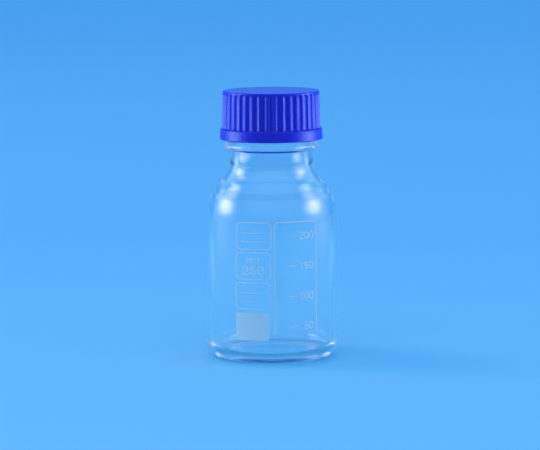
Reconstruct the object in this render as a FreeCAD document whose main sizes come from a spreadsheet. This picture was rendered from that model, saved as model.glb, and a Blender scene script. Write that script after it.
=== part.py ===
import FreeCAD, Part
import math
import os
import Sketcher

Vec = FreeCAD.Vector

doc = FreeCAD.newDocument("reagent_bottle")
sheet = doc.addObject("Spreadsheet::Sheet", "dims")

# Driving dimensions, in millimetres and degrees.  The axis of the bottle is Z,
# the table it stands on is z = 0 and the printed face looks along -Y.
SIZES = [
    # glass vessel, outside
    ("body_radius", 35.0, "outer radius of the cylindrical wall"),
    ("wall", 3.4, "thickness of the blown wall"),
    ("heel_radius", 6.0, "outside round between foot and wall"),
    ("foot_inner", 26.5, "inner radius of the flat contact ring"),
    ("push_up", 2.0, "rise of the hollow underside"),
    ("shoulder_base", 73.0, "height where the shoulder leaves the wall"),
    ("shoulder_radius", 31.5, "radius of the shoulder arc"),
    ("neck_radius", 22.2, "outer radius of the neck below the bead"),
    ("neck_fillet", 12.5, "hollow round between shoulder and neck"),
    ("bead_height", 111.9, "height of the widest line of the neck bead"),
    ("bead_reach", 24.7, "outer radius of the neck bead"),
    ("bead_round", 3.3, "round of the bead above its widest line"),
    ("bead_edge", 1.2, "round of the bead below its widest line"),
    ("bead_fillet", 0.5, "hollow round between the bead's underside and the neck"),
    ("bead_blend", 0.6, "hollow round between the bead and the finish"),
    ("root_radius", 20.3, "outer radius of the finish between threads"),
    ("seat_low", 130.2, "height where the pouring ring seat begins"),
    ("seat_radius", 19.2, "outer radius of the pouring ring seat"),
    ("rim_height", 136.9, "height of the glass rim"),
    ("rim_outer_round", 1.2, "outer round of the rim"),
    ("rim_inner_round", 1.5, "inner round of the rim"),
    # glass vessel, inside
    ("bore_radius", 15.0, "radius of the mouth"),
    ("throat_round", 9.0, "rounds of the throat under the mouth"),
    ("throat_low", 112.0, "height where the throat begins to narrow"),
    ("inner_neck", 17.6, "inner radius of the neck below the throat"),
    ("inner_hollow", 33.0, "hollow round inside, between shoulder and neck"),
    ("inner_heel", 5.2, "inside round between floor and wall"),
    ("floor_edge", 3.3, "height of the floor at its edge"),
    ("floor_crown", 4.7, "height of the floor at the axis"),
    # screw thread, shared by neck and cap
    ("pitch", 4.0, "rise of the thread in one turn"),
    ("thread_turns", 1.75, "turns of the neck thread"),
    ("thread_start", 120.6, "height of the middle of the neck thread at its start"),
    ("thread_reach", 22.4, "outer radius of the neck thread"),
    ("thread_root_half", 1.45, "half width of the neck thread at its root"),
    ("thread_crest_half", 0.6, "half width of the neck thread at its crest"),
    ("thread_bury", 0.3, "depth the thread runs into the wall"),
    ("cap_thread_turns", 1.9, "turns of the thread inside the cap"),
    ("cap_thread_drop", 2.0, "height of the cap thread below the neck thread"),
    ("cap_thread_reach", 21.0, "inner radius of the thread inside the cap"),
    ("cap_thread_root_half", 1.1, "half width of the cap thread at its root"),
    ("cap_thread_crest_half", 0.35, "half width of the cap thread at its crest"),
    # screw cap
    ("cap_low", 116.2, "height of the lower edge of the closed cap"),
    ("cap_top", 142.0, "height of the top of the closed cap"),
    ("cap_plate", 2.0, "thickness of the top plate"),
    ("cap_top_round", 0.45, "round of the top edge"),
    ("crest_top", 25.75, "radius over the ribs at the top"),
    ("crest_base", 26.25, "radius over the ribs at the ledge"),
    ("ledge", 122.1, "height of the ledge under the ribs"),
    ("brim_top_radius", 27.1, "radius of the brim at the ledge"),
    ("brim_radius", 27.5, "radius of the brim at its lower edge"),
    ("brim_round", 0.5, "rounds of the brim"),
    ("brim_overlap", 1.0, "depth the fluted wall runs into the brim"),
    ("cap_mouth", 23.7, "radius of the chamfered mouth of the cap"),
    ("cap_inner", 22.95, "inner radius of the cap wall"),
    ("pocket_low", 137.2, "height where the seal pocket begins"),
    ("pocket_bead", 21.5, "inner radius of the bead that keeps the seal in"),
    ("pocket_radius", 22.2, "radius of the seal pocket"),
    ("flute_count", 40.0, "number of flutes round the cap"),
    ("flute_round", 1.9, "radius of the flute section"),
    ("flute_depth", 0.75, "depth of a flute below the ribs"),
    ("flute_top", 141.55, "height of the rounded upper end of a flute"),
    # pouring ring
    ("ring_low", 131.6, "height of the lower edge of the pouring ring"),
    ("ring_radius", 20.5, "outer radius of the skirt of the pouring ring"),
    ("ring_mouth", 15.6, "inner radius of the pouring ring"),
    ("ring_web", 0.5, "thickness of the pouring ring over the rim"),
    ("lip_radius", 20.6, "radius of the pouring lip"),
    ("lip_top", 138.6, "height of the pouring lip"),
    ("lip_edge", 0.35, "thickness of the pouring lip at its edge"),
    # seal disc
    ("seal_low", 138.75, "height of the underside of the seal disc"),
    ("seal_thick", 1.2, "thickness of the seal disc"),
    ("seal_radius", 21.9, "radius of the seal disc"),
    # fired enamel print
    ("enamel", 0.08, "thickness of the enamel"),
    ("band_low", 8.0, "lower end of the printed band"),
    ("band_rise", 5.0, "rise of the printed band up the shoulder"),
    ("line_width", 0.6, "width of the printed lines"),
    ("panel_angle", -17.0, "direction of the panel column, from -Y towards +X"),
    ("panel_half", 9.6, "half width of a panel, measured flat"),
    ("panel_round", 2.2, "corner round of a panel"),
    ("panel_tall", 14.5, "height of a panel"),
    ("upper_panel_low", 60.9, "height of the lower edge of the upper panel"),
    ("capacity_panel_low", 45.05, "height of the lower edge of the capacity panel"),
    ("lower_panel_low", 29.15, "height of the lower edge of the lower panel"),
    ("field_half", 9.2, "half width of the marking field, measured flat"),
    ("field_low", 12.7, "height of the lower edge of the marking field"),
    ("field_tall", 14.7, "height of the marking field"),
    ("field_round", 1.2, "corner round of the marking field"),
    ("lean_height", 47.0, "height where the panel column faces its direction"),
    ("panel_lean", 0.0225, "sideways drift of the panel column per height"),
    ("scale_angle", 21.8, "direction of the scale frame, from -Y towards +X"),
    ("scale_half", 12.05, "half width of the scale frame, measured flat"),
    ("scale_low", 15.6, "height of the open lower end of the scale frame"),
    ("scale_high", 75.7, "height of the top of the scale frame"),
    ("scale_round", 2.6, "corner round of the scale frame"),
    ("tick_left", -4.75, "left end of the graduation lines in the frame"),
    ("tick_right", -0.15, "right end of the graduation lines in the frame"),
    ("tick_width", 0.55, "width of the graduation lines"),
    ("tick_first", 20.1, "height of the first graduation line"),
    ("tick_step", 16.02, "rise from one graduation line to the next"),
    ("numeral_right", 9.8, "right end of the numerals in the frame"),
    ("numeral_tall", 4.0, "height of the numerals"),
    ("numeral_wide", 2.55, "width of one numeral"),
    ("numeral_gap", 0.42, "space between numerals"),
    ("numeral_stroke", 0.64, "stroke width of the numerals"),
    ("capacity_tall", 5.0, "height of the capacity numerals"),
    ("capacity_wide", 3.6, "width of one capacity numeral"),
    ("capacity_gap", 0.55, "space between capacity numerals"),
    ("capacity_stroke", 0.98, "stroke width of the capacity numerals"),
    ("capacity_low", 47.45, "height of the foot of the capacity numerals"),
    ("unit_low", 53.75, "height of the foot of the unit letters"),
    ("unit_tall", 4.05, "height of the taller unit letter"),
    ("unit_x", 2.95, "height of the shorter unit letter"),
    ("unit_wide", 5.0, "width of the shorter unit letter"),
    ("unit_stroke", 0.86, "stroke width of the unit letters"),
    ("unit_gap", 0.95, "space between the unit letters"),
]
VALUE = {}
for row, (alias, value, note) in enumerate(SIZES, 1):
    sheet.set("A%d" % row, note)
    sheet.set("B%d" % row, str(value))
    sheet.setAlias("B%d" % row, alias)
    VALUE[alias] = float(value)
doc.recompute()


class Dim:
    """A length from the sheet: its present value and the expression that binds it."""

    def __init__(self, value, text):
        self.value = float(value)
        self.text = text

    def __add__(self, other):
        other = dim(other)
        return Dim(self.value + other.value, "(%s + %s)" % (self.text, other.text))

    def __sub__(self, other):
        other = dim(other)
        return Dim(self.value - other.value, "(%s - %s)" % (self.text, other.text))

    def __mul__(self, other):
        other = dim(other)
        return Dim(self.value * other.value, "(%s * %s)" % (self.text, other.text))

    def __truediv__(self, other):
        other = dim(other)
        return Dim(self.value / other.value, "(%s / %s)" % (self.text, other.text))


def dim(thing):
    """A sheet cell by its alias, or a plain number."""
    if isinstance(thing, Dim):
        return thing
    if isinstance(thing, str):
        return Dim(VALUE[thing], "dims." + thing)
    return Dim(thing, "%.9g" % thing)


def root(thing):
    return Dim(math.sqrt(thing.value), "sqrt(%s)" % thing.text)


def plane(body, role):
    return [f for f in body.Origin.OriginFeatures if f.Role == role][0]


def profile(body, name, steps):
    """A closed section in the XZ plane.

    Each step is (r, z) for a corner with a straight edge to the next corner, or
    (r, z, turn, radius, centre_r, centre_z) with an arc to the next corner that
    runs to the left (+1) or to the right (-1).
    """
    sketch = body.newObject("Sketcher::SketchObject", name)
    sketch.AttachmentSupport = [(plane(body, "XZ_Plane"), "")]
    sketch.MapMode = "FlatFace"
    count = len(steps)
    ends = []
    rounds = []
    for i, step in enumerate(steps):
        nxt = steps[(i + 1) % count]
        a = Vec(step[0].value, step[1].value, 0)
        b = Vec(nxt[0].value, nxt[1].value, 0)
        if len(step) == 2:
            geo = sketch.addGeometry(Part.LineSegment(a, b), False)
            ends.append((geo, 1, 2))
        else:
            turn, radius, mid_r, mid_z = step[2:]
            mid = Vec(mid_r.value, mid_z.value, 0)
            first, last = (a, b) if turn > 0 else (b, a)
            start = math.atan2(first.y - mid.y, first.x - mid.x)
            stop = math.atan2(last.y - mid.y, last.x - mid.x)
            if stop < start:
                stop += 2 * math.pi
            circle = Part.Circle(mid, Vec(0, 0, 1), radius.value)
            geo = sketch.addGeometry(Part.ArcOfCircle(circle, start, stop), False)
            ends.append((geo, 1, 2) if turn > 0 else (geo, 2, 1))
            rounds.append((geo, radius))
    for i in range(count):
        geo, _, tail = ends[i]
        nxt_geo, head, _ = ends[(i + 1) % count]
        sketch.addConstraint(Sketcher.Constraint("Coincident", geo, tail, nxt_geo, head))
    bound = []
    for i, step in enumerate(steps):
        geo, head, _ = ends[i]
        if abs(step[0].value) < 1e-9:
            sketch.addConstraint(Sketcher.Constraint("PointOnObject", geo, head, -2))
        else:
            at = sketch.addConstraint(
                Sketcher.Constraint("DistanceX", -1, 1, geo, head, step[0].value))
            bound.append((at, "r%d_" % i, step[0]))
        if abs(step[1].value) < 1e-9:
            sketch.addConstraint(Sketcher.Constraint("PointOnObject", geo, head, -1))
        else:
            at = sketch.addConstraint(
                Sketcher.Constraint("DistanceY", -1, 1, geo, head, step[1].value))
            bound.append((at, "z%d_" % i, step[1]))
    for i, (geo, radius) in enumerate(rounds):
        at = sketch.addConstraint(Sketcher.Constraint("Radius", geo, radius.value))
        bound.append((at, "round%d_" % i, radius))
    for at, label, size in bound:
        sketch.renameConstraint(at, label + name)
        sketch.setExpression("Constraints." + label + name, size.text)
    return sketch


def turned(body, name, steps):
    """A section turned once round the axis of the bottle."""
    sketch = profile(body, name + "_section", steps)
    feature = body.newObject("PartDesign::Revolution", name)
    feature.Profile = sketch
    feature.ReferenceAxis = (sketch, ["V_Axis"])
    feature.Angle = 360.0
    sketch.Visibility = False
    doc.recompute()
    return feature


def screw(body, name, steps, turns):
    """A ridge wound upwards round the axis, right-handed."""
    sketch = profile(body, name + "_section", steps)
    feature = body.newObject("PartDesign::AdditiveHelix", name)
    feature.Profile = sketch
    feature.ReferenceAxis = (sketch, ["V_Axis"])
    feature.Mode = "pitch-turns-angle"
    feature.Pitch = VALUE["pitch"]
    feature.Turns = VALUE[turns]
    feature.Angle = 0.0
    feature.LeftHanded = False
    feature.Reversed = False
    feature.setExpression("Pitch", "dims.pitch")
    feature.setExpression("Turns", "dims." + turns)
    sketch.Visibility = False
    doc.recompute()
    return feature


zero = dim(0.0)

# ---------------------------------------------------------------- glass bottle
glass = doc.addObject("PartDesign::Body", "glass_bottle")
glass.Label = "glass_bottle"

body_r = dim("body_radius")
heel = dim("heel_radius")
wall = dim("wall")
arc_r = dim("shoulder_radius")
hollow = dim("neck_fillet")
neck = dim("neck_radius")
base = dim("shoulder_base")

# Underside: a shallow dome inside the contact ring.
push = dim("push_up")
foot = dim("foot_inner")
dome_r = (foot * foot + push * push) / (push * 2)

# Shoulder: an arc out of the wall, then a hollow round into the neck, tangent.
span = arc_r + hollow
step_in = body_r - neck
rise = root(step_in * (span * 2 - step_in))
neck_low = base + rise
over = (span - step_in) / span
up = rise / span
c1r, c1z = body_r - arc_r, base
c2r, c2z = neck + hollow, neck_low

# Bead: a flat underside with a tight edge, and a fuller round up to the finish.
bead_z = dim("bead_height")
bead_t = dim("bead_reach")
bead_s = dim("bead_round")
bead_e = dim("bead_edge")
bead_c = bead_t - bead_s
blend = dim("bead_blend")
nook = dim("bead_fillet")
finish = dim("root_radius")
under = bead_z - bead_e
reach = bead_s + blend
top_run = root(reach * reach - (finish + blend - bead_c) * (finish + blend - bead_c))
top_z = bead_z + top_run
top_r = finish + blend
touch = bead_s / reach

seat = dim("seat_radius")
seat_z = dim("seat_low")
rim = dim("rim_height")
rim_o = dim("rim_outer_round")
rim_i = dim("rim_inner_round")

# Inside: a shoulder arc, a longer hollow than outside, and a throat to the mouth.
bore = dim("bore_radius")
throat = dim("throat_round")
inner = body_r - wall
inner_neck = dim("inner_neck")
throat_z = dim("throat_low")
widen = inner_neck - bore
throat_run = root(widen * (throat * 4 - widen))
bore_low = throat_z + throat_run
hollow_i = dim("inner_hollow")
in_step = inner - inner_neck
in_rise = throat_z - base
in_span = (in_rise * in_rise / in_step + in_step) / 2
arc_i = in_span - hollow_i
in_over = (in_span - in_step) / in_span
in_up = in_rise / in_span
heel_i = dim("inner_heel")
edge = dim("floor_edge")
crown = dim("floor_crown")
flat = inner - heel_i
bulge = crown - edge
floor_r = (flat * flat + bulge * bulge) / (bulge * 2)

turned(glass, "vessel", [
    (zero, push, -1, dome_r, zero, push - dome_r),
    (foot, zero),
    (body_r - heel, zero, 1, heel, body_r - heel, heel),
    (body_r, heel),
    (body_r, base, 1, arc_r, c1r, c1z),
    (c1r + arc_r * over, c1z + arc_r * up, -1, hollow, c2r, c2z),
    (neck, neck_low),
    (neck, under - nook, -1, nook, neck + nook, under - nook),
    (neck + nook, under),
    (bead_t - bead_e, under, 1, bead_e, bead_t - bead_e, bead_z),
    (bead_t, bead_z, 1, bead_s, bead_c, bead_z),
    (bead_c + (top_r - bead_c) * touch, bead_z + top_run * touch, -1, blend, top_r, top_z),
    (finish, top_z),
    (finish, seat_z),
    (seat, seat_z + finish - seat),
    (seat, rim - rim_o, 1, rim_o, seat - rim_o, rim - rim_o),
    (seat - rim_o, rim),
    (bore + rim_i, rim, 1, rim_i, bore + rim_i, rim - rim_i),
    (bore, rim - rim_i),
    (bore, bore_low, 1, throat, bore + throat, bore_low),
    ((bore + inner_neck) / 2, (bore_low + throat_z) / 2, -1, throat, inner_neck - throat, throat_z),
    (inner_neck, throat_z, 1, hollow_i, inner_neck + hollow_i, throat_z),
    (inner - arc_i + arc_i * in_over, base + arc_i * in_up, -1, arc_i, inner - arc_i, base),
    (inner, base),
    (inner, edge + heel_i, -1, heel_i, flat, edge + heel_i),
    (flat, edge, 1, floor_r, zero, crown - floor_r),
    (zero, crown),
])

thread_z = dim("thread_start")
screw(glass, "neck_thread", [
    (finish - "thread_bury", thread_z - "thread_root_half"),
    (dim("thread_reach"), thread_z - "thread_crest_half"),
    (dim("thread_reach"), thread_z + "thread_crest_half"),
    (finish - "thread_bury", thread_z + "thread_root_half"),
], "thread_turns")

# ---------------------------------------------------------------- pouring ring
ring = doc.addObject("PartDesign::Body", "pouring_ring")
ring.Label = "pouring_ring"
ring_z = dim("ring_low")
ring_r = dim("ring_radius")
lip_r = dim("lip_radius")
lip_z = dim("lip_top")
turned(ring, "ring", [
    (seat, ring_z),
    (ring_r, ring_z),
    (ring_r, rim),
    (lip_r, lip_z),
    (lip_r - "lip_edge", lip_z),
    (seat - 1.2, rim + dim("ring_web") + 0.25),
    (dim("ring_mouth"), rim + "ring_web"),
    (dim("ring_mouth"), rim),
    (seat, rim),
])

# ------------------------------------------------------------------- screw cap
cap = doc.addObject("PartDesign::Body", "screw_cap")
cap.Label = "screw_cap"
cap_z = dim("cap_low")
cap_t = dim("cap_top")
ceiling = cap_t - "cap_plate"
tip = dim("cap_top_round")
crest_t = dim("crest_top")
crest_b = dim("crest_base")
ledge = dim("ledge")
brim_t = dim("brim_top_radius")
brim_b = dim("brim_radius")
brim_o = dim("brim_round")
cap_i = dim("cap_inner")
pocket_z = dim("pocket_low")
pocket_b = dim("pocket_bead")
pocket_r = dim("pocket_radius")
lean = (crest_b - crest_t) / (cap_t - tip - ledge)
overlap = dim("brim_overlap")
turned(cap, "crown", [
    (zero, ceiling),
    (zero, cap_t),
    (crest_t - tip, cap_t, -1, tip, crest_t - tip, cap_t - tip),
    (crest_t, cap_t - tip),
    (crest_b + lean * overlap, ledge - overlap),
    (cap_i, ledge - overlap),
    (cap_i, pocket_z),
    (pocket_b, pocket_z + 0.9),
    (pocket_b, pocket_z + 1.2),
    (pocket_r, pocket_z + 1.5),
    (pocket_r, ceiling),
])

# One flute: a round-ended trough that leans with the draft of the cap wall.
flute_r = dim("flute_round")
flute_z = dim("flute_top") - flute_r
out = flute_r - "flute_depth"
flute_low = ledge - overlap * 2
foot_r = crest_b + out + lean * overlap * 2
head_r = crest_b + out - lean * (flute_z - ledge)
trough = profile(cap, "flute_section", [
    (foot_r, flute_low),
    (head_r, flute_z + flute_r, 1, flute_r, head_r, flute_z),
    (head_r - flute_r, flute_z),
    (foot_r - flute_r, flute_low),
])
flute = cap.newObject("PartDesign::Groove", "flute")
flute.Profile = trough
flute.ReferenceAxis = (trough, ["Edge1"])
flute.Angle = 360.0
trough.Visibility = False
doc.recompute()

flutes = cap.newObject("PartDesign::PolarPattern", "flutes")
flutes.Originals = [flute]
flutes.Axis = (trough, ["V_Axis"])
flutes.Angle = 360.0
flutes.Occurrences = int(VALUE["flute_count"])
flutes.setExpression("Occurrences", "dims.flute_count")
cap.Tip = flutes
doc.recompute()

# The smooth brim closes the lower ends of the flutes.
turned(cap, "brim", [
    (cap_i, ledge),
    (brim_t - brim_o, ledge, -1, brim_o, brim_t - brim_o, ledge - brim_o),
    (brim_t, ledge - brim_o),
    (brim_b, cap_z + brim_o, -1, brim_o, brim_b - brim_o, cap_z + brim_o),
    (brim_b - brim_o, cap_z),
    (dim("cap_mouth"), cap_z),
    (cap_i, cap_z + 0.9),
])

cap_thread_z = thread_z - "cap_thread_drop"
screw(cap, "cap_thread", [
    (cap_i + "thread_bury", cap_thread_z - "cap_thread_root_half"),
    (cap_i + "thread_bury", cap_thread_z + "cap_thread_root_half"),
    (dim("cap_thread_reach"), cap_thread_z + "cap_thread_crest_half"),
    (dim("cap_thread_reach"), cap_thread_z - "cap_thread_crest_half"),
], "cap_thread_turns")

# ------------------------------------------------------------------- seal disc
seal = doc.addObject("PartDesign::Body", "seal_disc")
seal.Label = "seal_disc"
seal_z = dim("seal_low")
seal_t = dim("seal_thick")
seal_r = dim("seal_radius")
turned(seal, "disc", [
    (zero, seal_z),
    (seal_r - 0.25, seal_z),
    (seal_r, seal_z + 0.25),
    (seal_r, seal_z + seal_t - 0.25),
    (seal_r - 0.25, seal_z + seal_t),
    (zero, seal_z + seal_t),
])

# --------------------------------------------------------- fired enamel print
# Every print is a flat outline, drawn facing -Y with x to the right and y up,
# thrown outwards on to a thin sleeve that hugs the wall and the foot of the shoulder.


def loop(points):
    return Part.Face(Part.makePolygon([Vec(x, y, 0) for x, y in points + points[:1]]))


def bar(x0, y0, x1, y1):
    return loop([(x0, y0), (x1, y0), (x1, y1), (x0, y1)])


def disc(x, y, radius):
    return Part.Face(Part.Wire(Part.makeCircle(radius, Vec(x, y, 0))))


def stroke(x0, y0, x1, y1, width):
    """A straight pen stroke with round ends."""
    long = math.hypot(x1 - x0, y1 - y0)
    ux, uy = (x1 - x0) / long * width / 2, (y1 - y0) / long * width / 2
    run = loop([(x0 + uy, y0 - ux), (x1 + uy, y1 - ux), (x1 - uy, y1 + ux), (x0 - uy, y0 + ux)])
    return [run, disc(x0, y0, width / 2), disc(x1, y1, width / 2)]


def sweep(x, y, radius, start, stop, width):
    """A round pen stroke about (x, y), from start to stop in degrees, anticlockwise."""
    a, b = math.radians(start), math.radians(stop)
    big, small = radius + width / 2, radius - width / 2

    def at(size, angle):
        return Vec(x + size * math.cos(angle), y + size * math.sin(angle), 0)

    half = (a + b) / 2
    edges = [
        Part.Arc(at(big, a), at(big, half), at(big, b)).toShape(),
        Part.makeLine(at(big, b), at(small, b)),
        Part.Arc(at(small, b), at(small, half), at(small, a)).toShape(),
        Part.makeLine(at(small, a), at(big, a)),
    ]
    ends = [disc(x + radius * math.cos(k), y + radius * math.sin(k), width / 2) for k in (a, b)]
    return [Part.Face(Part.Wire(edges))] + ends


def merged(faces):
    whole = faces[0].fuse(faces[1:]) if len(faces) > 1 else faces[0]
    return whole.removeSplitter()


def rounded(x0, y0, x1, y1, radius):
    """A rectangle with round corners."""
    k = radius * (1 - math.sqrt(0.5))
    edges = [
        Part.makeLine(Vec(x0 + radius, y0, 0), Vec(x1 - radius, y0, 0)),
        Part.Arc(Vec(x1 - radius, y0, 0), Vec(x1 - k, y0 + k, 0), Vec(x1, y0 + radius, 0)).toShape(),
        Part.makeLine(Vec(x1, y0 + radius, 0), Vec(x1, y1 - radius, 0)),
        Part.Arc(Vec(x1, y1 - radius, 0), Vec(x1 - k, y1 - k, 0), Vec(x1 - radius, y1, 0)).toShape(),
        Part.makeLine(Vec(x1 - radius, y1, 0), Vec(x0 + radius, y1, 0)),
        Part.Arc(Vec(x0 + radius, y1, 0), Vec(x0 + k, y1 - k, 0), Vec(x0, y1 - radius, 0)).toShape(),
        Part.makeLine(Vec(x0, y1 - radius, 0), Vec(x0, y0 + radius, 0)),
        Part.Arc(Vec(x0, y0 + radius, 0), Vec(x0 + k, y0 + k, 0), Vec(x0 + radius, y0, 0)).toShape(),
    ]
    return Part.Face(Part.Wire(edges))


def border(x0, y0, x1, y1, radius, width):
    hole = rounded(x0 + width, y0 + width, x1 - width, y1 - width, radius - width)
    return rounded(x0, y0, x1, y1, radius).cut(hole)


def sign(mark, x, y, wide, tall, pen):
    """One numeral or letter with its lower left corner at (x, y)."""
    p = pen / 2
    if mark == "0":
        big = rounded(x, y, x + wide, y + tall, wide / 2 - 0.001)
        return big.cut(rounded(x + pen, y + pen, x + wide - pen, y + tall - pen, wide / 2 - pen - 0.001))
    if mark == "1":
        stem = x + wide * 0.62
        return merged(stroke(stem, y + p, stem, y + tall - p, pen)
                      + stroke(stem, y + tall - p, x + wide * 0.2, y + tall * 0.74, pen))
    if mark == "2":
        r = (wide - pen) / 2
        cx, cy = x + wide / 2, y + tall - p - r
        turn = math.radians(-38.0)
        return merged(sweep(cx, cy, r, -38.0, 172.0, pen)
                      + stroke(cx + r * math.cos(turn), cy + r * math.sin(turn), x + p, y + p, pen)
                      + stroke(x + p, y + p, x + wide - p, y + p, pen))
    if mark == "5":
        r = (wide - pen) / 2
        cx, cy = x + wide / 2, y + p + r
        turn = math.radians(140.0)
        bx, by = cx + r * math.cos(turn), cy + r * math.sin(turn)
        return merged(sweep(cx, cy, r, -150.0, 140.0, pen)
                      + stroke(bx, by, x + p + wide * 0.06, y + tall - p, pen)
                      + stroke(x + p + wide * 0.06, y + tall - p, x + wide - p, y + tall - p, pen))
    if mark == "m":
        r = (wide - pen) / 4
        top = y + tall - p - r
        legs = []
        for k in range(3):
            reach_up = y + tall - p if k == 0 else top
            legs += stroke(x + p + 2 * r * k, y + p, x + p + 2 * r * k, reach_up, pen)
        return merged(legs + sweep(x + p + r, top, r, 0.0, 180.0, pen)
                      + sweep(x + p + 3 * r, top, r, 0.0, 180.0, pen))
    return merged(stroke(x + p, y + p, x + p, y + tall - p, pen))


coat = dim("enamel")
band_low = dim("band_low")
band_rise = dim("band_rise")
band_lean = root(arc_r * arc_r - band_rise * band_rise)
grow = (arc_r + coat) / arc_r
sleeve = doc.addObject("PartDesign::Body", "enamel_sleeve")
turned(sleeve, "sleeve", [
    (body_r, band_low),
    (body_r + coat, band_low),
    (body_r + coat, base, 1, arc_r + coat, c1r, c1z),
    (c1r + band_lean * grow, c1z + band_rise * grow),
    (c1r + band_lean, c1z + band_rise, -1, arc_r, c1r, c1z),
    (body_r, base),
])


def printed(label, angle, faces):
    """Outlines set facing the given direction, cut out of the enamel sleeve."""
    turn = VALUE[angle]
    outline = doc.addObject("Part::Feature", label + "_outline")
    outline.Shape = Part.makeCompound(faces)
    outline.Placement = FreeCAD.Placement(
        Vec(0, 0, 0), FreeCAD.Rotation(Vec(0, 0, 1), turn) * FreeCAD.Rotation(Vec(1, 0, 0), 90))
    outline.Visibility = False
    block = doc.addObject("Part::Extrusion", label + "_block")
    block.Base = outline
    block.DirMode = "Custom"
    block.Dir = Vec(math.sin(math.radians(turn)), -math.cos(math.radians(turn)), 0)
    block.LengthFwd = VALUE["body_radius"] + 2.0
    block.setExpression("LengthFwd", "dims.body_radius + 2")
    block.Solid = True
    piece = doc.addObject("Part::MultiCommon", label)
    piece.Shapes = [sleeve, block]
    piece.Label = label
    doc.recompute()
    return piece


half = VALUE["panel_half"]
tall = VALUE["panel_tall"]
line = VALUE["line_width"]
corner = VALUE["panel_round"]
z1 = VALUE["upper_panel_low"]
z2 = VALUE["capacity_panel_low"]
z3 = VALUE["lower_panel_low"]
z4 = VALUE["field_low"]


def drift(middle):
    """Sideways place of a panel: the column leans a little."""
    return VALUE["panel_lean"] * (middle - VALUE["lean_height"])


d1, d2, d3 = drift(z1 + tall / 2), drift(z2 + tall / 2), drift(z3 + tall / 2)
d4 = drift(z4 + VALUE["field_tall"] / 2)

# Upper and lower panel: a rounded frame with two ruled lines to write on.
upper = printed("upper_panel_print", "panel_angle", [
    border(d1 - half, z1, d1 + half, z1 + tall, corner, line),
    bar(d1 - half + 2.6, z1 + 4.0, d1 + half - 2.6, z1 + 4.0 + line * 0.75),
    bar(d1 - half + 2.6, z1 + 8.6, d1 + half - 2.6, z1 + 8.6 + line * 0.75),
])
lower = printed("lower_panel_print", "panel_angle", [
    border(d3 - half, z3, d3 + half, z3 + tall, corner, line),
    bar(d3 - half + 2.6, z3 + 4.0, d3 + half - 2.6, z3 + 4.0 + line * 0.75),
    bar(d3 - half + 2.6, z3 + 8.6, d3 + half - 2.6, z3 + 8.6 + line * 0.75),
])

# Capacity panel: the nominal volume and its unit.
cw, cg = VALUE["capacity_wide"], VALUE["capacity_gap"]
ct, cp = VALUE["capacity_tall"], VALUE["capacity_stroke"]
left = d2 - (3 * cw + 2 * cg) / 2
marks = [sign(mark, left + k * (cw + cg), VALUE["capacity_low"], cw, ct, cp)
         for k, mark in enumerate("250")]
uw, up_stroke = VALUE["unit_wide"], VALUE["unit_stroke"]
ug = VALUE["unit_gap"]
unit_left = d2 - (uw + ug + up_stroke) / 2
marks.append(sign("m", unit_left, VALUE["unit_low"], uw, VALUE["unit_x"], up_stroke))
marks.append(sign("l", unit_left + uw + ug, VALUE["unit_low"], up_stroke, VALUE["unit_tall"], up_stroke))
capacity = printed("capacity_panel_print", "panel_angle",
                   [border(d2 - half, z2, d2 + half, z2 + tall, corner, line)] + marks)

# Marking field: a solid patch to write on.
field = printed("marking_field_print", "panel_angle", [
    rounded(d4 - VALUE["field_half"], z4, d4 + VALUE["field_half"], z4 + VALUE["field_tall"], VALUE["field_round"]),
])

# Scale frame: a border open at its lower end.
wide = VALUE["scale_half"]
s0, s1, sr = VALUE["scale_low"], VALUE["scale_high"], VALUE["scale_round"]
closed = border(-wide, s0 - 2 * sr, wide, s1, sr, line)
frame = printed("scale_frame_print", "scale_angle", [
    closed.cut(bar(-wide - 1, s0 - 3 * sr, wide + 1, s0)),
])

# Graduation: four lines with their volumes.
nw, ng = VALUE["numeral_wide"], VALUE["numeral_gap"]
nt, npen = VALUE["numeral_tall"], VALUE["numeral_stroke"]
scale = []
for k, word in enumerate(("50", "100", "150", "200")):
    z = VALUE["tick_first"] + k * VALUE["tick_step"]
    scale.append(bar(VALUE["tick_left"], z - VALUE["tick_width"] / 2,
                     VALUE["tick_right"], z + VALUE["tick_width"] / 2))
    start = VALUE["numeral_right"] - len(word) * nw - (len(word) - 1) * ng
    for i, mark in enumerate(word):
        scale.append(sign(mark, start + i * (nw + ng), z - nt / 2, nw, nt, npen))
graduation = printed("graduation_print", "scale_angle", scale)

doc.recompute()

# ------------------------------------------------------------------------ output
bad = [o.Name for o in doc.Objects
       if any(word in o.State for word in ("Invalid", "Error"))]
if bad:
    raise RuntimeError("features that failed: " + ", ".join(bad))

os.makedirs("parts", exist_ok=True)
for piece in (glass, ring, seal, cap, upper, capacity, lower, field, frame, graduation):
    shape = piece.Shape
    if shape.isNull() or not shape.isValid() or not shape.Solids:
        raise RuntimeError("not a sound solid: " + piece.Label)
    shape.exportStep("parts/%s.step" % piece.Label)
    box = shape.BoundBox
    print("%-22s solids %2d  volume %10.2f  x %.2f..%.2f  y %.2f..%.2f  z %.2f..%.2f" % (
        piece.Label, len(shape.Solids), shape.Volume,
        box.XMin, box.XMax, box.YMin, box.YMax, box.ZMin, box.ZMax))
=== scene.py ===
import math

import bmesh
import bpy
import numpy as np
from mathutils import Matrix, Vector


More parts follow.
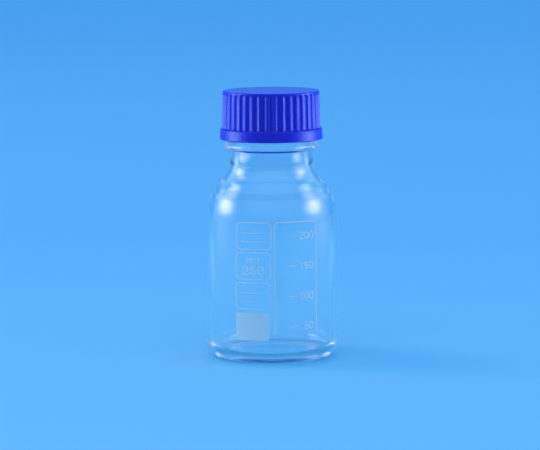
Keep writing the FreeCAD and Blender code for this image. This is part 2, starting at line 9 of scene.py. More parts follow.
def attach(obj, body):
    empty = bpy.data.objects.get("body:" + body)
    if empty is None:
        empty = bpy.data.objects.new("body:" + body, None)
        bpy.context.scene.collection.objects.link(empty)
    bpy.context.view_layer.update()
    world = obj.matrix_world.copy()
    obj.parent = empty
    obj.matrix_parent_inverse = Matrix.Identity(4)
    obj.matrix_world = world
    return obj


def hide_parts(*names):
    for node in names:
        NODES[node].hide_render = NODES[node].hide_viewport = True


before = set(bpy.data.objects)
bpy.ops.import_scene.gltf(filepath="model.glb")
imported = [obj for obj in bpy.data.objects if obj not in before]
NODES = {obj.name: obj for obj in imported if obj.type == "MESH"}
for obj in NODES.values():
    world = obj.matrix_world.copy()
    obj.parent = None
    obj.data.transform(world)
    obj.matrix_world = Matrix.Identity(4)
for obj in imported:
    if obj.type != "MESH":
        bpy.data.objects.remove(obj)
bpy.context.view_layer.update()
MM = 0.001
TAU = 2 * math.pi
scene = bpy.context.scene


# ------------------------------------------------------------------ mesh tools
class Path:
    """A section in millimetres, as (radius, height) points."""

    def __init__(self, r, z):
        self.points = [(r, z)]

    def line(self, r, z, n=1):
        r0, z0 = self.points[-1]
        for i in range(1, n + 1):
            k = i / n
            self.points.append((r0 + (r - r0) * k, z0 + (z - z0) * k))
        return self

    def arc(self, cr, cz, r, z, turn, n):
        """Round (cr, cz) to (r, z), to the left (+1) or to the right (-1)."""
        r0, z0 = self.points[-1]
        a0 = math.atan2(z0 - cz, r0 - cr)
        a1 = math.atan2(z - cz, r - cr)
        if turn > 0 and a1 < a0:
            a1 += TAU
        if turn < 0 and a1 > a0:
            a1 -= TAU
        s0 = math.hypot(r0 - cr, z0 - cz)
        s1 = math.hypot(r - cr, z - cz)
        for i in range(1, n + 1):
            k = i / n
            a = a0 + (a1 - a0) * k
            s = s0 + (s1 - s0) * k
            self.points.append((cr + s * math.cos(a), cz + s * math.sin(a)))
        return self


def smooth(x):
    x = np.clip(x, 0.0, 1.0)
    return x * x * (3 - 2 * x)


def turned(name, points, columns, shape=None, loop=False):
    """A closed mesh turned round Z. shape(row, angle, r, z) may change a row's radius."""
    angle = np.arange(columns) * TAU / columns
    cos, sin = np.cos(angle), np.sin(angle)
    verts, rows = [], []
    for i, (r, z) in enumerate(points):
        if abs(r) < 1e-9:
            rows.append([len(verts)])
            verts.append((0.0, 0.0, z * MM))
            continue
        ring = np.full(columns, float(r))
        if shape is not None:
            ring = shape(i, angle, ring, z)
        first = len(verts)
        rows.append(list(range(first, first + columns)))
        verts.extend(zip(ring * cos * MM, ring * sin * MM, np.full(columns, z * MM)))
    faces = []
    pairs = list(zip(rows[:-1], rows[1:]))
    if loop:
        pairs.append((rows[-1], rows[0]))
    for a, b in pairs:
        for j in range(columns):
            k = (j + 1) % columns
            if len(a) == 1:
                faces.append((a[0], b[k], b[j]))
            elif len(b) == 1:
                faces.append((a[j], a[k], b[0]))
            else:
                faces.append((a[j], a[k], b[k], b[j]))
    mesh = bpy.data.meshes.new(name)
    mesh.from_pydata([tuple(map(float, v)) for v in verts], [], faces)
    work = bmesh.new()
    work.from_mesh(mesh)
    bmesh.ops.recalc_face_normals(work, faces=work.faces)
    work.to_mesh(mesh)
    work.free()
    mesh.polygons.foreach_set("use_smooth", [True] * len(mesh.polygons))
    mesh.update()
    obj = bpy.data.objects.new(name, mesh)
    scene.collection.objects.link(obj)
    return obj


# ------------------------------------------------------------------- materials
class Shader:
    """A node material with a Principled shader and a few shorthand builders."""

    def __init__(self, name):
        self.mat = bpy.data.materials.new(name)
        self.mat.use_nodes = True
        self.tree = self.mat.node_tree
        self.nodes = self.tree.nodes
        self.nodes.clear()
        self.out = self.nodes.new("ShaderNodeOutputMaterial")
        self.bsdf = self.nodes.new("ShaderNodeBsdfPrincipled")
        self.link(self.bsdf.outputs[0], self.out.inputs["Surface"])
        self.coord = self.nodes.new("ShaderNodeTexCoord")

    def link(self, a, b):
        self.tree.links.new(a, b)

    def set(self, **values):
        for key, value in values.items():
            self.bsdf.inputs[key.replace("_", " ")].default_value = value
        return self

    def stretched(self, scale):
        node = self.nodes.new("ShaderNodeMapping")
        node.inputs["Scale"].default_value = scale
        self.link(self.coord.outputs["Object"], node.inputs["Vector"])
        return node.outputs["Vector"]

    def noise(self, scale, detail=3.0, rough=0.5, vector=None):
        node = self.nodes.new("ShaderNodeTexNoise")
        node.inputs["Scale"].default_value = scale
        node.inputs["Detail"].default_value = detail
        node.inputs["Roughness"].default_value = rough
        self.link(vector or self.coord.outputs["Object"], node.inputs["Vector"])
        return node.outputs["Fac"]

    def ramp(self, fac, stops):
        node = self.nodes.new("ShaderNodeValToRGB")
        band = node.color_ramp.elements
        while len(band) < len(stops):
            band.new(0.5)
        for e, (at, colour) in zip(band, stops):
            e.position = at
            e.color = colour if len(colour) == 4 else (*colour, 1.0)
        self.link(fac, node.inputs["Fac"])
        return node.outputs["Color"]

    def span(self, fac, low, high, to_low, to_high):
        node = self.nodes.new("ShaderNodeMapRange")
        node.inputs["From Min"].default_value = low
        node.inputs["From Max"].default_value = high
        node.inputs["To Min"].default_value = to_low
        node.inputs["To Max"].default_value = to_high
        self.link(fac, node.inputs["Value"])
        return node.outputs["Result"]

    def mix(self, kind, a, b):
        node = self.nodes.new("ShaderNodeMix")
        node.data_type = "RGBA"
        node.blend_type = kind
        node.inputs[0].default_value = 1.0
        self.link(a, node.inputs[6])
        self.link(b, node.inputs[7])
        return node.outputs[2]

    def bump(self, height, strength, distance):
        node = self.nodes.new("ShaderNodeBump")
        node.inputs["Strength"].default_value = strength
        node.inputs["Distance"].default_value = distance
        self.link(height, node.inputs["Height"])
        self.link(node.outputs["Normal"], self.bsdf.inputs["Normal"])


def glass_material():
    s = Shader("clear_borosilicate")
    s.set(Base_Color=(0.985, 0.993, 0.996, 1), IOR=1.473, Transmission_Weight=1.0)
    # Faint smears of handling, and the slow waviness of blown glass.
    smear = s.noise(55.0, 4.0, 0.6)
    s.link(s.span(smear, 0.55, 0.8, 0.0, 0.03), s.bsdf.inputs["Roughness"])
    wave = s.noise(28.0, 1.0, 0.4, s.stretched((1.0, 1.0, 0.35)))
    s.bump(wave, 0.08, 0.0015)
    return s.mat


def plastic_material(name, dark, light, rough, grain):
    s = Shader(name)
    cloud = s.noise(90.0, 3.0, 0.55)
    s.link(s.ramp(cloud, [(0.3, dark), (0.7, light)]), s.bsdf.inputs["Base Color"])
    fine = s.noise(2600.0, 2.0, 0.6)
    s.link(s.span(fine, 0.3, 0.7, rough - 0.05, rough + 0.07), s.bsdf.inputs["Roughness"])
    s.set(IOR=1.49, Specular_IOR_Level=0.5)
    # Light soaks a little way into the unfilled plastic.
    s.set(Subsurface_Weight=0.5, Subsurface_Radius=(0.15, 0.15, 1.0), Subsurface_Scale=0.006)
    s.bump(fine, grain, 0.00006)
    return s.mat


def enamel_material():
    s = Shader("white_enamel")
    cloud = s.noise(160.0, 4.0, 0.6)
    s.link(s.ramp(cloud, [(0.25, (0.70, 0.77, 0.79)), (0.75, (0.76, 0.82, 0.84))]),
           s.bsdf.inputs["Base Color"])
    mesh_print = s.noise(5200.0, 1.0, 0.5)
    s.link(s.span(mesh_print, 0.3, 0.7, 0.42, 0.6), s.bsdf.inputs["Roughness"])
    s.bump(mesh_print, 0.25, 0.00002)
    return s.mat


def seal_material():
    s = Shader("silicone_seal")
    cloud = s.noise(240.0, 4.0, 0.6)
    s.link(s.ramp(cloud, [(0.3, (0.030, 0.060, 0.46)), (0.7, (0.036, 0.070, 0.52))]),
           s.bsdf.inputs["Base Color"])
    fine = s.noise(3000.0, 2.0, 0.6)
    s.link(s.span(fine, 0.3, 0.7, 0.55, 0.72), s.bsdf.inputs["Roughness"])
    s.bump(fine, 0.2, 0.00005)
    return s.mat


def stage_material():
    s = Shader("pale_studio_floor")
    # Painted sweep: deeper in colour towards the back, painted shade that dims the front of the table, and painted
    # pools of light that make the flanks paler where the softboxes stand.
    axes = s.nodes.new("ShaderNodeSeparateXYZ")
    s.link(s.coord.outputs["Object"], axes.inputs[0])
    cloud = s.noise(0.9, 2.0, 0.5)
    depth = s.nodes.new("ShaderNodeMath")
    depth.operation = "MULTIPLY_ADD"
    depth.inputs[1].default_value = 0.03
    s.link(cloud, depth.inputs[0])
    s.link(s.span(axes.outputs["Y"], -1.2, 3.4, 0.0, 0.97), depth.inputs[2])
    # Painted shade: the floor's colour darkens towards the front of the table.
    paint = s.ramp(depth.outputs[0], [(0.03, (0.035, 0.110, 0.360)), (0.165, (0.250, 0.460, 0.560)),
                                      (0.225, (0.260, 0.470, 0.570)), (0.37, (0.210, 0.430, 0.555)),
                                      (0.95, (0.150, 0.360, 0.500))])
    # A light table: half of its light comes through it from below; its glow is painted dim towards the front as shade.
    lit = s.ramp(depth.outputs[0], [(0.03, (0.000, 0.006, 0.160)), (0.165, (0.022, 0.190, 0.450)),
                                    (0.225, (0.021, 0.198, 0.460)), (0.37, (0.010, 0.156, 0.441)),
                                    (0.95, (0.017, 0.152, 0.420))])
    side = s.nodes.new("ShaderNodeMath")
    side.operation = "ABSOLUTE"
    s.link(axes.outputs["X"], side.inputs[0])
    wedge = s.nodes.new("ShaderNodeMath")
    wedge.operation = "MULTIPLY_ADD"
    wedge.inputs[1].default_value = -0.10
    s.link(axes.outputs["Y"], wedge.inputs[0])
    s.link(side.outputs[0], wedge.inputs[2])
    glow_with_painted_flanks = s.nodes.new("ShaderNodeMix")
    glow_with_painted_flanks.data_type = "RGBA"
    glow_with_painted_flanks.blend_type = "ADD"
    s.link(lit, glow_with_painted_flanks.inputs[6])
    # Painted light: pale pools on the floor at the flanks, where the softboxes stand, added to the table's glow near
    # the bottle.
    painted_flank_light = s.ramp(s.span(wedge.outputs[0], 0.16, 0.60, 0.0, 1.0),
                  [(0.0, (0.0, 0.0, 0.0)), (0.22, (0.070, 0.110, 0.050)), (0.48, (0.085, 0.120, 0.060)),
                   (0.75, (0.240, 0.280, 0.190))])
    s.link(painted_flank_light, glow_with_painted_flanks.inputs[7])
    away = s.nodes.new("ShaderNodeVectorMath")
    away.operation = "LENGTH"
    s.link(s.coord.outputs["Object"], away.inputs[0])
    s.link(s.span(away.outputs["Value"], 0.42, 0.60, 1.0, 0.0), glow_with_painted_flanks.inputs[0])
    # A painted pool of light under the clear base stands for the light it lets through to the table, and a painted
    # shadow ring stands for the shade of its heel.
    front = s.nodes.new("ShaderNodeVectorMath")
    front.operation = "DISTANCE"
    front.inputs[1].default_value = (0.0, -0.010, 0.0)
    s.link(s.coord.outputs["Object"], front.inputs[0])
    near = s.span(away.outputs["Value"], 0.0, 0.06, 0.0, 1.0)
    # Painted light: a brighter disc under the foot of the bottle.
    through = s.mix("ADD", glow_with_painted_flanks.outputs[2], s.ramp(near, [(0.40, (0.045, 0.130, 0.210)), (0.48, (0.0, 0.0, 0.0))]))
    # Painted shadow: a darker ring round the foot, set a little to the front, on the glow and on the colour.
    painted_contact_shadow = s.ramp(s.span(front.outputs["Value"], 0.0, 0.06, 0.0, 1.0),
                     [(0.38, (1.0, 1.0, 1.0)), (0.43, (0.62, 0.85, 0.93)),
                      (0.50, (0.72, 0.90, 0.96)), (0.66, (1.0, 1.0, 1.0))])
    s.link(s.mix("MULTIPLY", through, painted_contact_shadow), s.bsdf.inputs["Emission Color"])
    s.link(s.mix("MULTIPLY", paint, painted_contact_shadow), s.bsdf.inputs["Base Color"])
    s.set(Emission_Strength=1.0)
    s.set(Roughness=0.9, Specular_IOR_Level=0.15)
    return s.mat


# ---------------------------------------------------------------- glass bottle
BODY, WALL = 34.97, 3.37
SH_Z, SH_R = 73.0, 31.47
NECK, HOLLOW = 22.2, 12.5
BEAD_Z, BEAD_R, BEAD_S, BEAD_E = 111.9, 24.7, 3.3, 1.2
NOOK, BEAD_B = 0.5, 0.6
BEAD_C = BEAD_R - BEAD_S
ROOT, SEAT = 20.3, 19.2
RIM, BORE = 136.9, 15.0
THROAT, IN_NECK, IN_HOLLOW = 112.0, 17.6, 33.0
IN_HEEL, FLOOR_Z, CROWN = 5.2, 3.3, 4.7
PITCH = 4.0
WAVE_Z, WAVE_H, WAVE_L = 91.0, 0.525, 10.0


def glass_section():
    span = SH_R + HOLLOW
    step = BODY - NECK
    rise = math.sqrt(step * (2 * span - step))
    neck_z = SH_Z + rise
    over, up = (span - step) / span, rise / span
    c1, c2 = BODY - SH_R, NECK + HOLLOW
    reach = BEAD_S + BEAD_B
    top_run = math.sqrt(reach ** 2 - (ROOT + BEAD_B - BEAD_C) ** 2)
    k = BEAD_S / reach
    p = Path(0.0, 2.0)
    dome = (26.5 ** 2 + 2.0 ** 2) / 4.0
    p.arc(0.0, 2.0 - dome, 26.2, 0.045, -1, 26)
    p.line(26.6, 0.0, 2)
    p.line(28.8, 0.0, 3)
    p.arc(28.97, 6.0, BODY, 6.0, 1, 26)
    p.line(BODY, SH_Z, 18)
    p.arc(c1, SH_Z, c1 + SH_R * over, SH_Z + SH_R * up, 1, 34)
    p.arc(c2, neck_z, NECK, neck_z, -1, 14)
    under = BEAD_Z - BEAD_E
    p.line(NECK, under - NOOK, 5)
    p.arc(NECK + NOOK, under - NOOK, NECK + NOOK, under, -1, 6)
    p.line(BEAD_R - BEAD_E, under, 2)
    p.arc(BEAD_R - BEAD_E, BEAD_Z, BEAD_R, BEAD_Z, 1, 12)
    p.arc(BEAD_C, BEAD_Z,
          BEAD_C + (ROOT + BEAD_B - BEAD_C) * k, BEAD_Z + top_run * k, 1, 18)
    p.arc(ROOT + BEAD_B, BEAD_Z + top_run, ROOT, BEAD_Z + top_run, -1, 6)
    p.line(ROOT, 118.8, 6)
    first = len(p.points)
    p.line(ROOT, 129.6, 62)
    last = len(p.points)
    p.line(ROOT, 130.0, 2)
    p.line(SEAT + 0.15, 131.1, 4)
    p.line(SEAT, 131.5, 2)
    p.line(SEAT, RIM - 1.2, 5)
    p.arc(SEAT - 1.2, RIM - 1.2, SEAT - 1.2, RIM, 1, 8)
    p.line(BORE + 1.5, RIM, 3)
    p.arc(BORE + 1.5, RIM - 1.5, BORE, RIM - 1.5, 1, 8)
    widen = IN_NECK - BORE
    run = math.sqrt(widen * (4 * 9.0 - widen))
    bore_z = THROAT + run
    p.line(BORE, bore_z, 12)
    p.arc(BORE + 9.0, bore_z, (BORE + IN_NECK) / 2, (bore_z + THROAT) / 2, 1, 12)
    p.arc(IN_NECK - 9.0, THROAT, IN_NECK, THROAT, -1, 12)
    # Inside, a longer hollow than outside runs down from the throat to the shoulder.
    step = BODY - WALL - IN_NECK
    span = ((THROAT - SH_Z) ** 2 / step + step) / 2
    bulge = span - IN_HOLLOW
    turn_r = BODY - WALL - bulge + bulge * (span - step) / span
    turn_z = SH_Z + bulge * (THROAT - SH_Z) / span
    a = len(p.points)
    p.arc(IN_NECK + IN_HOLLOW, THROAT, turn_r, turn_z, 1, 44)
    p.arc(BODY - WALL - bulge, SH_Z, BODY - WALL, SH_Z, -1, 44)
    # The settle wave of the blown wall, a faint ring inside the shoulder.
    for i in range(a, len(p.points)):
        r, z = p.points[i]
        u = z - WAVE_Z
        p.points[i] = (r + WAVE_H * math.sin(TAU * u / WAVE_L) * math.exp(-(u / 5.5) ** 2), z)
    p.line(BODY - WALL, FLOOR_Z + IN_HEEL, 18)
    flat = BODY - WALL - IN_HEEL
    # The floor rises to its crown with no crease where it leaves the inner heel.
    p.arc(flat, FLOOR_Z + IN_HEEL, flat + 0.6, FLOOR_Z + IN_HEEL - math.sqrt(IN_HEEL ** 2 - 0.36), -1, 20)
    r0, z0 = p.points[-1]
    for i in range(1, 31):
        t = i / 30
        r = r0 * (1 - t)
        q = r / r0
        p.points.append((r, CROWN + (z0 - CROWN) * (3 * q * q - 2 * q ** 3)))
    p.points[-1] = (0.0, CROWN)
    return p.points, first, last


def ridge(angle, z, start, turns, root_half, crest_half, fade):
    """Height, 0 to 1, of a right-hand thread at each angle."""
    high = np.zeros_like(angle)
    for k in range(int(turns) + 1):
        run = angle + TAU * k
        inside = run <= TAU * turns
        off = np.abs(z - (start + PITCH * run / TAU))
        face = smooth((root_half - off) / (root_half - crest_half))
        ends = smooth(run / fade) * smooth((TAU * turns - run) / fade)
        high = np.maximum(high, np.where(inside, face * ends, 0.0))
    return high


points, thread_a, thread_b = glass_section()


def neck_shape(i, angle, ring, z):
    if thread_a <= i < thread_b:
        return ring + 2.1 * ridge(angle, z, 120.6, 1.75, 1.45, 0.6, 0.45)
    return ring


glass = turned("bottle_glass", points, 192, neck_shape)
glass.data.materials.append(glass_material())
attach(glass, "bottle")
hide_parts("glass_bottle")

# ---------------------------------------------------------------- pouring ring
p = Path(19.2, 132.0)
p.arc(19.6, 132.0, 19.6, 131.6, 1, 4)
p.line(20.2, 131.6, 2)
p.arc(20.2, 131.9, 20.5, 131.9, 1, 4)
p.line(20.5, 136.9, 6)
p.line(20.56, 138.2, 4)
p.arc(20.42, 138.42, 20.42, 138.6, 1, 5)
p.arc(20.42, 138.5, 20.28, 138.45, 1, 3)
for i in range(1, 13):
    t = i / 12
    p.points.append((20.28 - 2.6 * t, 137.65 + 0.8 * (1 - t) ** 2.2))
p.line(16.0, 137.42, 4)
p.arc(15.9, 137.12, 15.6, 137.12, 1, 5)
p.line(15.6, 136.92, 1)
p.line(19.2, 136.92, 6)
ring = turned("pouring_ring_body", p.points, 144, loop=True)
ring.data.materials.append(plastic_material(
    "ring_polypropylene", (0.030, 0.060, 0.50), (0.036, 0.070, 0.56), 0.30, 0.15))
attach(ring, "bottle")
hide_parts("pouring_ring")

# ------------------------------------------------------------------- seal disc
p = Path(0.0, 138.75)
p.line(21.5, 138.75, 12)
p.arc(21.5, 139.15, 21.9, 139.15, 1, 5)
p.line(21.9, 139.55, 2)
p.arc(21.5, 139.55, 21.5, 139.95, 1, 5)
p.line(0.0, 139.95, 12)
seal = turned("seal_liner", p.points, 128)
seal.data.materials.append(seal_material())
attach(seal, "seal")
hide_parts("seal_disc")

# ------------------------------------------------------------------- screw cap
LEDGE, CREST_B, CREST_T = 122.1, 26.25, 25.75
LEAN = (CREST_B - CREST_T) / (141.55 - LEDGE)
FLUTE_R, FLUTE_D, FLUTE_N = 1.9, 0.75, 40
FLUTE_Z = 141.55 - FLUTE_R


def crest(z):
    return CREST_B - LEAN * (z - LEDGE)


def flute(angle, z):
    """Depth of the flutes below the ribs, with softly rounded rib edges."""
    step = TAU / FLUTE_N
    off = (angle + step / 2) % step - step / 2
    side = off * 26.0
    above = max(0.0, z - FLUTE_Z)
    inside = FLUTE_R ** 2 - side ** 2 - above ** 2
    deep = np.sqrt(np.maximum(inside, 0.0)) - (FLUTE_R - FLUTE_D)
    deep = np.where(inside > 0, deep, -1.0)
    soft = 0.16
    return np.where(deep > soft, deep, np.where(deep < -soft, 0.0, (deep + soft) ** 2 / (4 * soft)))


fluted, threaded = set(), set()
p = Path(0.0, 142.0)
p.line(25.3, 142.0, 14)
a = len(p.points)
p.arc(25.3, 141.55, 25.75, 141.55, -1, 7)
for z in ([141.47, 141.39, 141.3, 141.2, 141.1, 141.0, 140.88, 140.75, 140.6, 140.45, 140.3, 140.1, 139.9, 139.65, 139.4]
          + list(np.linspace(138.9, 122.7, 12)) + [122.5, 122.38]):
    p.points.append((crest(z), z))
b = len(p.points)
fluted.update(range(a, b))
for lift, z in ((0.02, 122.27), (0.07, 122.18), (0.16, 122.12), (0.3, 122.1)):
    fluted.add(len(p.points))
    p.points.append((crest(z) + lift, z))
p.line(26.62, 122.1, 1)
p.arc(26.6, 121.6, 27.1, 121.6, -1, 7)
p.line(27.46, 116.7, 8)
p.arc(26.96, 116.7, 26.96, 116.2, -1, 7)
p.line(23.8, 116.2, 4)
p.line(23.0, 117.0, 3)
p.line(22.95, 117.3, 1)
a = len(p.points)
p.line(22.95, 127.6, 54)
b = len(p.points)
threaded.update(range(a, b))
p.line(22.95, 137.2, 6)
p.line(21.62, 138.0, 5)
p.arc(21.75, 138.2, 21.62, 138.38, -1, 4)
p.line(22.15, 138.68, 3)
p.line(22.2, 139.8, 4)
p.arc(22.0, 139.8, 22.0, 140.0, 1, 4)
p.line(0.0, 140.0, 10)


def cap_shape(i, angle, ring, z):
    if i in fluted:
        return ring - flute(angle, z)
    if i in threaded:
        return ring - 1.95 * ridge(angle, z, 118.6, 1.9, 1.1, 0.35, 0.4)
    return ring


cap = turned("cap_moulding", p.points, 560, cap_shape)
cap.data.materials.append(plastic_material(
    "cap_polypropylene", (0.012, 0.010, 0.46), (0.015, 0.012, 0.50), 0.32, 0.2))
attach(cap, "cap")
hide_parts("screw_cap")

# -------------------------------------------------------------- enamel print
enamel = enamel_material()
PRINTS = ("upper_panel_print", "capacity_panel_print", "lower_panel_print",
          "marking_field_print", "scale_frame_print", "graduation_print")
for name in PRINTS:
    mesh = NODES[name].data
    mesh.materials.clear()
    mesh.materials.append(enamel)

# ----------------------------------------------------------------------- stage
# A wide flat floor that meets the even studio backdrop far away.
p = Path(0.0, 0.0)
p.line(200.0, 0.0, 4)
p.line(14000.0, 0.0, 24)
angle = np.arange(96) * TAU / 96
verts, rows = [], []
for r, z in p.points:
    z -= 0.15
    if r == 0:
        rows.append([len(verts)])
        verts.append((0, 0, z * MM))
        continue
    rows.append(list(range(len(verts), len(verts) + 96)))
    verts += [(r * math.cos(t) * MM, r * math.sin(t) * MM, z * MM) for t in angle]
faces = []
for a, b in zip(rows[:-1], rows[1:]):
    for j in range(96):
        k = (j + 1) % 96
        faces.append((a[0], b[j], b[k]) if len(a) == 1 else (a[j], b[j], b[k], a[k]))
mesh = bpy.data.meshes.new("studio_floor")
mesh.from_pydata(verts, [], faces)
mesh.polygons.foreach_set("use_smooth", [True] * len(mesh.polygons))
floor = bpy.data.objects.new("studio_floor", mesh)
scene.collection.objects.link(floor)
floor.data.materials.append(stage_material())

# ---------------------------------------------------------------------- lights
world = bpy.data.worlds.new("studio")
scene.world = world
world.use_nodes = True
tree = world.node_tree
sky = tree.nodes["Background"]
sky.inputs["Strength"].default_value = 1.0
toward = tree.nodes.new("ShaderNodeTexCoord")
parts = tree.nodes.new("ShaderNodeSeparateXYZ")
tree.links.new(toward.outputs["Generated"], parts.inputs[0])


def along(axis, low, high):
    node = tree.nodes.new("ShaderNodeMapRange")
    node.interpolation_type = "SMOOTHSTEP"
    node.inputs["From Min"].default_value = low
    node.inputs["From Max"].default_value = high
    tree.links.new(parts.outputs[axis], node.inputs["Value"])
    return node.outputs["Result"]


# Blue backdrop behind, paler flanks, a dim room behind the camera, and a white
# ceiling panel above the front.
round_about = tree.nodes.new("ShaderNodeMapRange")
round_about.inputs["From Min"].default_value = 1.0
round_about.inputs["From Max"].default_value = -1.0
tree.links.new(parts.outputs["Y"], round_about.inputs["Value"])
walls = tree.nodes.new("ShaderNodeValToRGB")
walls.color_ramp.interpolation = "EASE"
for at, colour in ((0.3, (0.095, 0.410, 0.930)), (0.5, (0.230, 0.580, 1.000)), (0.66, (0.110, 0.340, 0.740))):
    walls.color_ramp.elements.new(at).color = (*colour, 1)
walls.color_ramp.elements[0].color = (0.075, 0.380, 0.920, 1)
walls.color_ramp.elements[-1].color = (0.024, 0.055, 0.280, 1)
tree.links.new(round_about.outputs["Result"], walls.inputs["Fac"])
dusk = tree.nodes.new("ShaderNodeMix")
dusk.data_type = "RGBA"
tree.links.new(along("Z", 0.0, 0.6), dusk.inputs[0])
tree.links.new(walls.outputs["Color"], dusk.inputs[6])
dusk.inputs[7].default_value = (0.050, 0.260, 0.700, 1)
overhead = tree.nodes.new("ShaderNodeVectorMath")
overhead.operation = "DOT_PRODUCT"
overhead.inputs[1].default_value = (0.0, -0.5, 0.866)
tree.links.new(toward.outputs["Generated"], overhead.inputs[0])
panel = tree.nodes.new("ShaderNodeMapRange")
panel.interpolation_type = "SMOOTHSTEP"
panel.inputs["From Min"].default_value = 0.35
panel.inputs["From Max"].default_value = 1.0
tree.links.new(overhead.outputs["Value"], panel.inputs["Value"])
shade = tree.nodes.new("ShaderNodeMix")
shade.data_type = "RGBA"
tree.links.new(panel.outputs["Result"], shade.inputs[0])
tree.links.new(dusk.outputs[2], shade.inputs[6])
shade.inputs[7].default_value = (0.52, 0.78, 1.02, 1)
tree.links.new(shade.outputs[2], sky.inputs["Color"])

# The softboxes light the bottle and leave the even light of the floor alone.
unlit = bpy.data.collections.new("floor_and_cap")
unlit.objects.link(floor)
unlit.objects.link(cap)
for entry in unlit.collection_objects:
    entry.light_linking.link_state = "EXCLUDE"


def softbox(name, at, aim, width, height, core, glow, lit, colour=(1.0, 1.0, 1.0), unseen=""):
    """A rectangular light with a bright core that fades into a dim rim."""
    data = bpy.data.lights.new(name, "AREA")
    data.shape = "RECTANGLE"
    data.size, data.size_y = width, height
    data.energy = math.pi * width * height
    data.color = colour
    data.use_nodes = True
    tree = data.node_tree
    place = tree.nodes.new("ShaderNodeNewGeometry")
    centre = tree.nodes.new("ShaderNodeVectorMath")
    centre.operation = "SUBTRACT"
    centre.inputs[1].default_value = (0.5, 0.5, 0.0)
    tree.links.new(place.outputs["Parametric"], centre.inputs[0])
    reach = tree.nodes.new("ShaderNodeVectorMath")
    reach.operation = "LENGTH"
    tree.links.new(centre.outputs["Vector"], reach.inputs[0])
    levels = []
    for edge, value in ((0.46, core), (0.5, glow)):
        fade = tree.nodes.new("ShaderNodeMapRange")
        fade.interpolation_type = "SMOOTHSTEP"
        fade.inputs["From Min"].default_value = edge
        fade.inputs["From Max"].default_value = 0.0
        fade.inputs["To Max"].default_value = value
        tree.links.new(reach.outputs["Value"], fade.inputs["Value"])
        levels.append(fade.outputs["Result"])
    both = tree.nodes.new("ShaderNodeMath")
    tree.links.new(levels[0], both.inputs[0])
    tree.links.new(levels[1], both.inputs[1])
    tree.links.new(both.outputs[0], tree.nodes["Emission"].inputs["Strength"])
    obj = bpy.data.objects.new(name, data)
    obj.location = at
    obj.rotation_euler = (Vector(aim) - Vector(at)).to_track_quat("-Z", "Y").to_euler()
    obj.visible_camera = False
    obj.visible_transmission = unseen != "through"
    obj.visible_glossy = unseen != "mirrored"
    obj.light_linking.receiver_collection = lit
    scene.collection.objects.link(obj)
    return obj


softbox("softbox_left", (-0.856, 0.119, 0.345), (0, 0, 0.09), 0.98, 0.56, 5.1, 0.6, unlit, (1.0, 0.87, 0.83))
softbox("softbox_right", (0.850, -0.052, 0.375), (0, 0, 0.09), 0.98, 0.56, 5.0, 0.6, unlit, (1.0, 0.87, 0.83))

# Pale walls of the tent at both sides, that show only in the glass.
glassed = bpy.data.collections.new("glass_only")
glassed.objects.link(glass)
softbox("tent_left", (-1.12, 0.72, 0.80), (0, 0, 0.09), 2.6, 1.6, 0.0, 0.9, glassed, (0.60, 0.85, 1.0))
softbox("tent_right", (1.12, 0.62, 0.80), (0, 0, 0.09), 2.6, 1.6, 0.0, 0.9, glassed, (0.60, 0.85, 1.0))

softbox("wall_left", (-1.15, 0.16, 0.34), (0, 0, 0.09), 1.9, 1.5, 0.0, 2.0, glassed, (1.0, 0.88, 0.80), "through")
softbox("wall_right", (1.15, -0.07, 0.36), (0, 0, 0.09), 1.9, 1.5, 0.0, 2.0, glassed, (1.0, 0.88, 0.80), "through")
softbox("tent_top_left", (-1.13, 0.15, 0.90), (0, 0, 0.09), 1.0, 0.9, 0.0, 4.4, glassed, (1.0, 0.88, 0.80), "through")
softbox("tent_top_right", (1.13, -0.03, 0.93), (0, 0, 0.09), 1.0, 0.9, 0.0, 4.4, glassed, (1.0, 0.88, 0.80), "through")
softbox("low_left", (-0.40, 0.03, 0.030), (0, 0, 0.030), 0.44, 0.06, 0.0, 1.3, glassed, (1.0, 0.80, 0.60), "through")
softbox("low_right", (0.40, 0.03, 0.030), (0, 0, 0.030), 0.44, 0.06, 0.0, 1.4, glassed, (1.0, 0.80, 0.60), "through")

# A far, warm light from the left, that gives the floor its one faint shadow.
floored = bpy.data.collections.new("floor_lit")
floored.objects.link(floor)
softbox("key", (-1.9, 0.7, 2.8), (0, 0, 0), 1.7, 1.7, 0.0, 9.0, floored, (1.0, 0.80, 0.52))

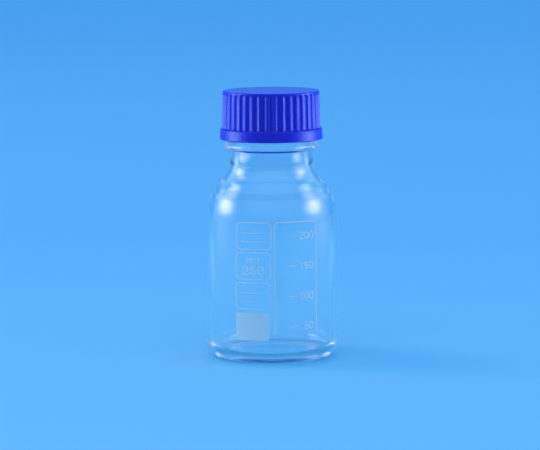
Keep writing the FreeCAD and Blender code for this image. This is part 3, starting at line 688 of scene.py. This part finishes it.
# Broad panels that only the cap sees, and a blue fill for the print.
capped = bpy.data.collections.new("cap_only")
capped.objects.link(cap)
softbox("cap_box_left", (-0.856, 0.119, 0.345), (0, 0, 0.09), 0.98, 0.56, 5.1, 0.6, capped, (1.0, 0.87, 0.83), "mirrored")
softbox("cap_box_right", (0.850, -0.052, 0.375), (0, 0, 0.09), 0.98, 0.56, 5.0, 0.6, capped, (1.0, 0.87, 0.83), "mirrored")
softbox("panel_left", (-0.95, 0.02, 0.40), (0, 0, 0.13), 1.1, 1.0, 0.0, 9.6, capped, (0.42, 0.82, 0.93), "mirrored")
softbox("panel_right", (0.95, 0.02, 0.40), (0, 0, 0.13), 1.1, 1.0, 0.0, 10.2, capped, (0.42, 0.82, 0.93), "mirrored")
softbox("strip_left", (-0.95, 0.02, 0.06), (0, 0, 0.06), 1.1, 0.12, 0.0, 23.0, capped, (0.64, 1.00, 0.95))
softbox("strip_right", (0.95, 0.02, 0.06), (0, 0, 0.06), 1.1, 0.12, 0.0, 25.0, capped, (0.64, 1.00, 0.95))

# What the clear neck passes up from the bright table into the inside of the cap.
data = bpy.data.lights.new("neck_glow", "POINT")
data.shadow_soft_size, data.energy, data.color = 0.006, 0.024, (0.05, 0.25, 1.0)
glow = bpy.data.objects.new("neck_glow", data)
glow.location = (0.0, 0.0, 0.118)
glow.visible_camera = False
glow.light_linking.receiver_collection = capped
glow.light_linking.blocker_collection = capped
scene.collection.objects.link(glow)

printed = bpy.data.collections.new("print_only")
for name in PRINTS:
    printed.objects.link(NODES[name])
softbox("fill", (-0.25, -0.75, 1.10), (0, 0, 0.10), 1.2, 1.2, 0.0, 2.3, printed, (0.22, 0.74, 1.0))
softbox("panel_back", (0.0, 1.10, 0.50), (0, 0, 0.14), 1.0, 0.5, 0.0, 0.8, capped, (0.35, 0.80, 1.0))

# ---------------------------------------------------------------------- camera
cam = bpy.data.cameras.new("camera")
cam.sensor_width = 36.0
cam.lens = 188.36
cam.clip_start, cam.clip_end = 0.05, 30.0
eye = bpy.data.objects.new("camera", cam)
scene.collection.objects.link(eye)
tilt = Matrix.Rotation(math.radians(90.0 - 7.094), 4, "X")
roll = Matrix.Rotation(math.radians(-0.4), 4, "Z")
eye.matrix_world = Matrix.Translation((-0.001, -1.5, 0.25646)) @ tilt @ roll
scene.camera = eye

scene.view_settings.view_transform = "Standard"
scene.view_settings.look = "None"
scene.cycles.max_bounces = 512
scene.cycles.transmission_bounces = 512
scene.cycles.glossy_bounces = 512
scene.cycles.diffuse_bounces = 4
scene.cycles.use_denoising = True
